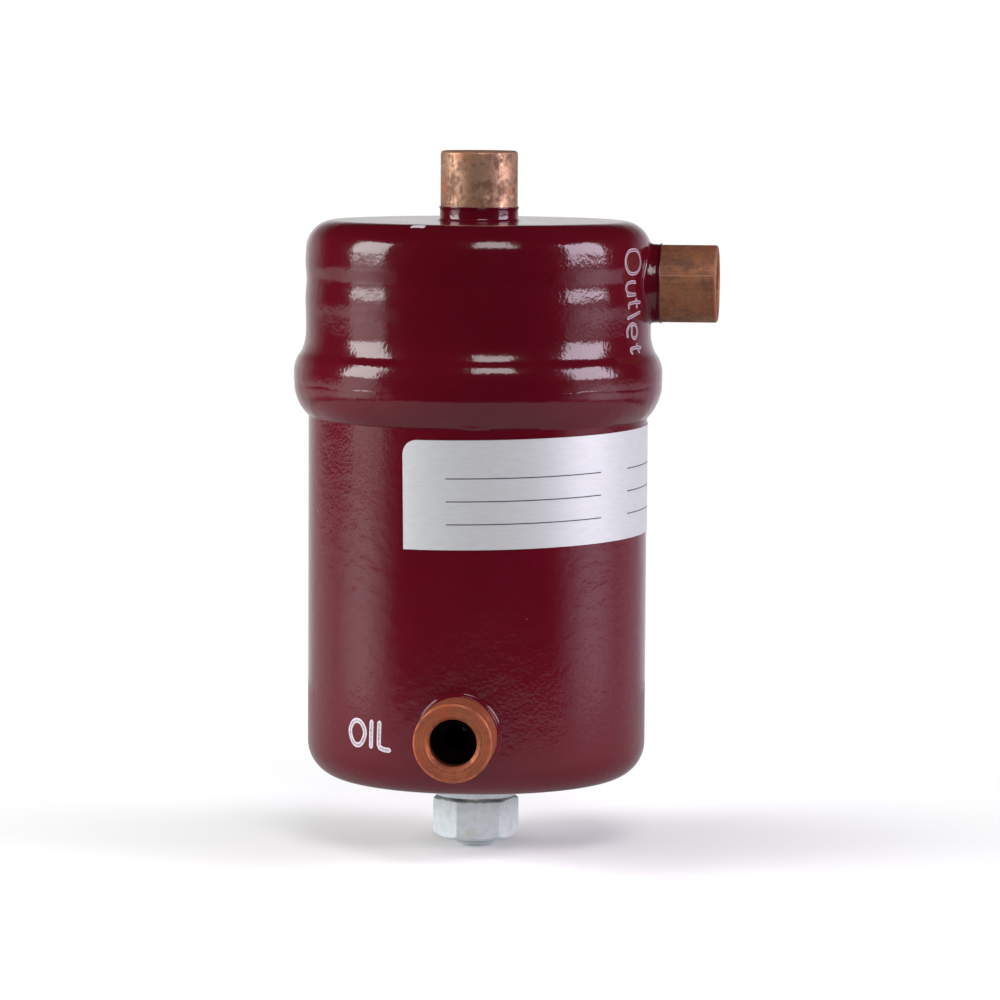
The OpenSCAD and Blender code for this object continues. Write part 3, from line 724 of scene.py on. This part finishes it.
# %% Mounting stud
STUD_LOW, STUD_HIGH, STUD_BLANK_R = -14.5, -0.4, 4.8
POINT_R, POINT_HIGH, EDGE_R = 3.3, -13.0, 0.3
FLANGE_LOW, FLANGE_HIGH, FLANGE_R = -1.3, 0.2, 6.5
pen = Pen(0, STUD_LOW).line(POINT_R, STUD_LOW).arc(POINT_R, STUD_LOW + EDGE_R, 60, 4)
blank = pen.lines((STUD_BLANK_R, POINT_HIGH), (STUD_BLANK_R, STUD_HIGH), (0, STUD_HIGH)).turn(72)
cut(stud, solid(blank, "stud_blank"), "INTERSECT")
pen = Pen(0, FLANGE_LOW).line(FLANGE_R - EDGE_R, FLANGE_LOW)
pen.arc(FLANGE_R - EDGE_R, FLANGE_LOW + EDGE_R, 90, 4)
flange = pen.lines((FLANGE_R, FLANGE_HIGH), (0, FLANGE_HIGH)).turn(72)
cut(stud, solid(flange, "weld_flange"), "UNION")
dress(stud, zinc, "zinc", "mounting_stud", sharp=35)

# %% [markdown]
# ## The foil label
# The label is a thin silver film, stuck on by hand a little more than a degree out of level. Its
# upper left corner is rounded and the lower one is sharp. It starts as one flat face: a bevel
# rounds the corner, cuts across it give it enough edges to bend, solidify makes it thick, and then
# every point is wrapped round the can. The flat place of each point is kept in a UV map for the
# ruled lines.

# %% Label plate
LABEL_LONG, LABEL_HIGH, LABEL_MID, LABEL_THICK, LABEL_GAP = 89.0, 22.0, 61.95, 0.1, 0.03
LABEL_LEFT, LABEL_TILT = math.radians(-109.5), math.tan(math.radians(1.35))
LABEL_ROUND, LABEL_CUTS, LEAN = 3.0, 90, 0.6 * LABEL_TILT
label = bmesh.new()
bmesh.ops.create_grid(label, x_segments=1, y_segments=1, size=0.5)
bmesh.ops.scale(label, vec=(LABEL_LONG, LABEL_HIGH, 1), verts=label.verts)
corner = [v for v in label.verts if v.co.x < 0 < v.co.y]
bmesh.ops.bevel(label, geom=corner, offset=LABEL_ROUND, segments=10, profile=0.5,
                affect="VERTICES", material=-1)
for k in range(1, LABEL_CUTS):
    whole = label.verts[:] + label.edges[:] + label.faces[:]
    cut_at = LABEL_LONG * (k / LABEL_CUTS - 0.5)
    bmesh.ops.bisect_plane(label, geom=whole, plane_co=(cut_at, 0, 0), plane_no=(1, 0, 0))
bmesh.ops.solidify(label, geom=label.faces[:], thickness=LABEL_THICK)
flat = label.loops.layers.uv.new("print")
for side in label.faces:
    for loop in side.loops:
        loop[flat].uv = (loop.vert.co.x / LABEL_LONG + 0.5, loop.vert.co.y / LABEL_HIGH + 0.5)
for point in label.verts:
    turn = LABEL_LEFT + (point.co.x + LABEL_LONG / 2 - LEAN * point.co.y) / LOWER_R
    rise = LOWER_R * math.sin(turn - LABEL_LEFT - LABEL_LONG / LOWER_R / 2) * LABEL_TILT
    lift = LOWER_R + LABEL_GAP + abs(point.co.z)
    point.co = (lift * math.cos(turn), lift * math.sin(turn), LABEL_MID + point.co.y + rise)
label_plate = solid(label, "label_film")
print("label:", LABEL_LONG, "x", LABEL_HIGH, "mm")

# %% [markdown]
# The film has a fine grain that runs round the can, and two columns of blank writing lines. The
# lines are masks on the flat map, so they follow the label's tilt.

# %% Label film, with blank writing lines
LINE_COLUMNS, LINE_ROWS, LINE_THICK = ((9, 34), (52, 29)), (5.0, 9.6, 14.2), 0.22
film, feed, place = finish("silver_film")
printed = place.node("ShaderNodeUVMap", {"uv_map": "print"})
across = place.node("ShaderNodeSeparateXYZ", None, {0: printed}, "X") * LABEL_LONG
upward = place.node("ShaderNodeSeparateXYZ", None, {0: printed}, "Y") * LABEL_HIGH


def between(value, low, high, soft):
    """1 from low to high, with soft ends."""
    return rising(value, low - soft, low + soft) * (1 - rising(value, high - soft, high + soft))


def stretched(place, x, y, z):
    """A place whose patterns are squeezed by these factors."""
    return vector_maths(place, "MULTIPLY", place, (x, y, z))


columns = [between(across, left, left + long, 0.05) for left, long in LINE_COLUMNS]
rows = [between(upward, row, row + LINE_THICK, 0.04) for row in LINE_ROWS]
ink = (columns[0] + columns[1]) * (rows[0] + rows[1] + rows[2])
grain = clouds(stretched(place, 1, 1, 9), 320.0, 3.0)
silver = tint(rising(grain, 0.3, 0.7), (0.49, 0.50, 0.51), (0.525, 0.535, 0.545))
feed(Base_Color=tint(ink, silver, (0.012, 0.012, 0.014)),
     Metallic=0.4 - 0.4 * ink,
     Roughness=0.42 + 0.08 * grain,
     Normal=relief(clouds(place, 160.0, 2.0) + 0.1 * grain, 1.0e-5))
dress(label_plate, film, "foil", "data_label", sharp=40)

# %% [markdown]
# ## Port words in marker
# The ports' names are written on the enamel with a pale paint marker. A font would look far too
# regular, so each letter is a few strokes of a curve with a round pen. The curves are drawn on a
# flat sheet, made into a mesh, pressed thin and wrapped round the wall.

# %% Strokes
OVERRUN, END_RADIUS = 0.4, 0.3


def written(name, strokes, width, wiped):
    """A flat sheet of strokes; a closed one ends at its start. Wiped is the lack in their middles."""
    sheet = bpy.data.curves.new(name, "CURVE")
    sheet.dimensions, sheet.bevel_depth, sheet.bevel_resolution = "3D", width / 2, 3
    sheet.resolution_u, sheet.use_fill_caps = 8, True
    for points in strokes:
        closed = points[0] == points[-1]
        points = [Vector((*point, 0)) for point in (points[:-1] if closed else points)]
        if not closed:
            ends = [(points[k] - points[n]).normalized() * OVERRUN * width for k, n in ((0, 1), (-1, -2))]
            points = [points[0] + ends[0], *points, points[-1] + ends[1]]
        spline = sheet.splines.new("BEZIER")
        spline.use_cyclic_u = closed
        spline.bezier_points.add(len(points) - 1)
        for knot, point in zip(spline.bezier_points, points):
            knot.co = point
            knot.handle_left_type = knot.handle_right_type = "AUTO"
        if not closed:
            spline.bezier_points[0].radius = spline.bezier_points[-1].radius = END_RADIUS
    drawn = bpy.data.objects.new(name + "_curve", sheet)
    bpy.context.scene.collection.objects.link(drawn)
    mesh = bpy.data.meshes.new_from_object(drawn.evaluated_get(bpy.context.evaluated_depsgraph_get()))
    bpy.data.objects.remove(drawn)
    middle = mesh.attributes.new("middle", "FLOAT", "POINT")
    middle.data.foreach_set("value", [wiped * v.co.z / (width / 2) for v in mesh.vertices])
    made = bpy.data.objects.new(name, mesh)
    bpy.context.scene.collection.objects.link(made)
    return made


print("strokes run over by", OVERRUN, "of their width")

# %% Wrap a sheet of strokes round the can
STRAIGHT_Z, PAINT_GAP = 95.0, 0.015


def wrapped(made, wall, degrees, height, thin=0.06):
    """Lays a flat sheet round the can, its zero at an angle and a height."""
    for v in made.data.vertices:
        turn = math.radians(degrees) + v.co.x / wall(STRAIGHT_Z)
        lift = wall(height + v.co.y) + PAINT_GAP + v.co.z * thin
        v.co = (lift * math.cos(turn), lift * math.sin(turn), height + v.co.y)
    return made


oval = [(2.5, 5.3), (0.85, 4.1), (0.7, 2.1), (2.6, 0.3), (4.5, 2.1), (4.35, 4.1), (2.5, 5.3)]
stem = [(6.45, 5.4), (6.35, 3.0), (6.3, 0.3)]
tall = [(8.4, 5.35), (8.3, 3.0), (8.25, 0.7)]
foot = [(8.4, 0.35), (9.4, 0.0), (10.8, -0.1)]
oil_word = written("oil_word", [oval, stem, tall, foot], width=1.0, wiped=0.92)
dress(wrapped(oil_word, lower_wall, degrees=-132.0, height=9.35), marker, "foil", sharp=60)

# %% [markdown]
# The word beside the outlet runs downwards, so its letters lie on their sides. It is written level
# like the other and turned by swapping the two directions before it is wrapped.

# %% The outlet mark
SQUEEZE = 0.955
big_o = [(2.9, 7.0), (1.0, 5.9), (0.4, 3.6), (1.0, 1.2), (2.9, 0.3), (4.8, 1.3), (5.4, 3.7), (4.8, 6.0),
         (2.9, 7.0)]
letters = [
    big_o,
    [(7.3, 4.8), (7.2, 2.5), (7.9, 1.0), (9.0, 1.0), (9.7, 2.6), (9.8, 4.6)], [(9.85, 4.4), (9.95, 1.2)],
    [(11.6, 6.7), (11.6, 2.8), (12.0, 1.6), (12.6, 1.7)], [(10.9, 4.9), (12.5, 5.2)],
    [(13.7, 6.8), (14.8, 1.4)],
    [(16.6, 3.2), (18.9, 3.6), (18.8, 5.3), (17.4, 5.7), (16.3, 4.5), (16.2, 2.7), (17.3, 1.3),
     (18.7, 1.4)],
    [(21.2, 6.8), (21.2, 3.3), (21.6, 2.1), (22.2, 2.3)], [(20.5, 5.2), (22.1, 5.5)],
]
outlet_word = written("outlet_word", letters, width=0.66, wiped=1.2)
for v in outlet_word.data.vertices:
    v.co = (v.co.y, -SQUEEZE * v.co.x, v.co.z)
dress(wrapped(outlet_word, upper_wall, degrees=-28.3, height=110.1, thin=0.09), marker, "foil", sharp=60)

# %% [markdown]
# On the corner of the top, left of the inlet, there is one short dab of the same marker.

# %% The dab on the corner
dab = written("marker_dab", [[(-1.6, 0), (0, 0.06), (1.5, 0.02)]], width=0.45, wiped=0.8)
dress(wrapped(dab, upper_wall, degrees=-106.75, height=114.6, thin=0.09), marker, "foil", sharp=60)

# %% [markdown]
# ## The parts inside
# Cap, core, mesh, sleeve, valve and float are only seen with the vessel opened or hidden, and their
# CAD shapes are right as they are. They get finishes of their own: pressed steel with lathe
# and die marks, a knitted wire pad with painted shade in its gaps, and turned brass that is painted
# near-black in its passage, as painted shade inside the bore.

# %% Steel and brass
steel, feed, place = finish("pressed_steel", Metallic=1.0)
scuffs = clouds(stretched(place, 1, 1, 12), 420.0, 4.0)
film_of_oil = rising(clouds(place, 60.0, 3.0), 0.45, 0.7)
satin = tint(scuffs, (0.46, 0.46, 0.45), (0.64, 0.64, 0.63))
feed(Base_Color=tint(film_of_oil, satin, (0.42, 0.37, 0.28)),
     Roughness=0.26 + 0.2 * scuffs - 0.08 * film_of_oil,
     Normal=relief(scuffs, 6.0e-6))

brass, feed, place = finish("turned_brass", Metallic=1.0)
tooling = clouds(stretched(place, 1, 14, 1), 500.0, 3.0)
# The brass in the oil passage is painted near-black, as painted shade inside the bore.
off_axis = vector_maths(place, "SUBTRACT", stretched(place, 1, 0, 1), (0, 0, OIL_Z * MM))
passage = 1 - rising(vector_maths(place, "LENGTH", off_axis, (0, 0, 0), "Value"), 0.0024, 0.0028)
bright_brass = tint(rising(tooling, 0.3, 0.7), (0.52, 0.36, 0.13), (0.74, 0.55, 0.24))
feed(Base_Color=tint(passage, bright_brass, (0.012, 0.008, 0.005)),
     Roughness=0.22 + 0.2 * tooling + 0.4 * passage,
     Normal=relief(tooling, 8.0e-6))
print("finishes:", steel.name, brass.name)

# %% Knitted wire, and who wears what
knit, feed, place = finish("knitted_wire", Metallic=1.0)
wires = place.node("ShaderNodeTexVoronoi", {"feature": "DISTANCE_TO_EDGE"},
                   {"Vector": place, "Scale": 1100.0})
# The gaps between strands are painted near-black, as painted shade inside the pad.
strand = 1 - rising(wires, 0.06, 0.22)
feed(Base_Color=tint(strand, (0.05, 0.048, 0.045), (0.58, 0.57, 0.55)),
     Roughness=0.55 - 0.25 * strand,
     Normal=relief(strand, 2.5e-4))

wearers = {
    steel: ("element_top_cap", "element_core", "element_sleeve", "element_bottom_cap", "valve_needle",
            "hinge_pin", "float_lever", "float_near_half", "float_far_half"),
    brass: ("valve_body", "valve_seat"),
    knit: ("element_mesh",),
}
for material, names in wearers.items():
    for name in names:
        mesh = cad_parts[name].data
        mesh.materials.clear()
        mesh.materials.append(material)
    print(material.name, "on", len(names), "nodes")

# %% [markdown]
# ## Floor and studio
# The picture has a bright sweep behind, two tall soft boxes at the sides, one overhead, and a
# dark room in front; glossy enamel shows all of it. The floor is a plain pale sheet that ends a
# little way in front. To the camera it fades into the white, so only the shadow shows.

# %% Pale floor
FLOOR_R, FADE_START, FADE_END = 0.27, 0.03, 0.16
sheet = bmesh.new()
bmesh.ops.create_circle(sheet, cap_ends=True, radius=FLOOR_R, segments=96,
                        matrix=Matrix.Translation((0, 0, STUD_LOW * MM)))
floor = solid(sheet, "floor")
pale, feed, place = finish("pale_floor", Roughness=0.9)
tree = pale.node_tree
away = vector_maths(place, "LENGTH", place, (0, 0, 0), "Value")
seen = place.node("ShaderNodeLightPath", output="Is Camera Ray")
lit = place.maths("MAXIMUM", seen, place.node("ShaderNodeLightPath", output="Is Diffuse Ray"))
feed(Base_Color=tint(lit, (0.40, 0.40, 0.40), (0.93, 0.93, 0.93)))
white = place.node("ShaderNodeEmission", None, {"Color": (1, 1, 1, 1), "Strength": 1.0})
body = Wire(tree, tree.nodes["Principled BSDF"].outputs[0])
faded = seen * rising(away, FADE_START, FADE_END)
mixed = place.node("ShaderNodeMixShader", None, {0: faded, 1: body, 2: white})
tree.links.new(mixed.socket, tree.nodes["Material Output"].inputs[0])
floor.data.materials.append(pale)
floor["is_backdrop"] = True
print("floor at", floor.data.vertices[0].co.z)

# %% [markdown]
# The soft boxes are upright area lamps. Their strength is set as radiance, which is power over pi
# times area, because that is what a mirror of the box shows. A dim skirt below each side
# box softens its lower end, and the fills light only what is matt.

# %% Soft boxes
REACH, LEVEL = 0.8, 0.07
COOL = (1.03, 0.95, 1.12)


def soft_box(name, side, wide, low, high, radiance, colour=(1, 1, 1), mirrored=True):
    """An upright box at side degrees from the camera's own direction, between two elevations."""
    heading = math.radians(-90 + side) + TURN
    foot, head = math.tan(math.radians(low)), math.tan(math.radians(high))
    data = bpy.data.lights.new(name, "AREA")
    data.shape = "RECTANGLE"
    data.size, data.size_y = 2 * REACH * math.tan(math.radians(wide) / 2), REACH * (head - foot)
    data.energy = radiance * math.pi * data.size * data.size_y
    data.color = colour
    lamp = bpy.data.objects.new(name, data)
    bpy.context.scene.collection.objects.link(lamp)
    middle = LEVEL + REACH * (foot + head) / 2
    lamp.location = (REACH * math.cos(heading), REACH * math.sin(heading), middle)
    lamp.rotation_euler = (math.radians(90), 0, heading + math.radians(90))
    lamp.visible_camera, lamp.visible_glossy = False, mirrored
    print(f"{name}: {data.energy:.1f} W")


soft_box("left_box", side=-78, wide=28, low=5, high=35.5, radiance=9.0)
soft_box("left_skirt", side=-78, wide=28, low=-3.5, high=5, radiance=1.5)
soft_box("right_box", side=76, wide=32, low=5, high=35.5, radiance=8.0, colour=COOL)
soft_box("right_skirt", side=76, wide=32, low=-3.5, high=5, radiance=0.45, colour=COOL)
soft_box("left_fill", side=-82, wide=50, low=-8, high=40, radiance=4.2, mirrored=False)
soft_box("right_fill", side=82, wide=50, low=-8, high=40, radiance=2.2, mirrored=False)
soft_box("front_fill", side=0, wide=50, low=-4, high=14, radiance=0.7, mirrored=False)
soft_box("front_box", side=11, wide=28, low=31, high=53, radiance=7.2)

# %% [markdown]
# The world is white to the camera. Mirrors see it white behind the object and dark in front, by
# the direction of the ray. Low at both sides they see a soft glow, which stands for the light that
# the table throws back from the boxes. Matt surfaces get an even, modest fill.

# %% What mirrors see
DARK_ROOM, MATT_FILL = 0.01, 0.17
world = bpy.data.worlds.new("studio")
bpy.context.scene.world = world
world.use_nodes = True
sky = world.node_tree
ray = Wire(sky).node("ShaderNodeTexCoord", output="Generated")
toward = vector_maths(ray, "DOT_PRODUCT", ray, (math.sin(TURN), -math.cos(TURN), 0), "Value")
aside = vector_maths(ray, "DOT_PRODUCT", ray, right, "Value")
level = ray.node("ShaderNodeSeparateXYZ", None, {0: ray}, "Z")
sweep = (1 - rising(toward, -1.0, -0.45)) * (1 - rising(level, 0.0, 0.45))
sweep = (0.76 + 0.10 * rising(level, -0.03, 0.03)) * sweep
glow = (1 - rising(toward, 0.12, 0.62)) * (0.33 + 0.67 * rising(toward, -0.4, 0.1))
glow = glow * rising(level, -0.34, -0.22) * (1 - rising(level, -0.095, -0.065))
room = ray.maths("MAXIMUM", sweep, glow * (1.75 - 0.25 * rising(aside, -0.2, 0.2)))
print("room from", len(sky.nodes), "nodes")

# %% World
path = {name: ray.node("ShaderNodeLightPath", output=name) for name in
        ("Is Camera Ray", "Is Glossy Ray", "Is Transmission Ray")}
mirrored = ray.maths("MAXIMUM", path["Is Glossy Ray"], path["Is Transmission Ray"])
shown = ray.maths("MAXIMUM", path["Is Camera Ray"], mirrored * (DARK_ROOM + room))
strength = shown + MATT_FILL * (1 - ray.maths("MAXIMUM", path["Is Camera Ray"], mirrored))
sky.links.new(strength.socket, sky.nodes["Background"].inputs["Strength"])
shade = tint(mirrored * rising(aside, 0.2, 0.6), (1, 1, 1), COOL)
sky.links.new(shade.socket, sky.nodes["Background"].inputs["Color"])
bpy.context.scene.view_settings.view_transform = "Standard"
print("world:", world.name)

# %% [markdown]
# ## Size
# The skins stand a little proud of the solids, like paint. Both boxes are printed for comparison.

# %% Print both boxes
dressed_box = [list(corner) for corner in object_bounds()]
for low_or_high, solids, dressed in zip(("low", "high"), solids_box, dressed_box):
    print(low_or_high, "corner proud by", [round((b - a) / MM, 2) for a, b in zip(solids, dressed)], "mm")
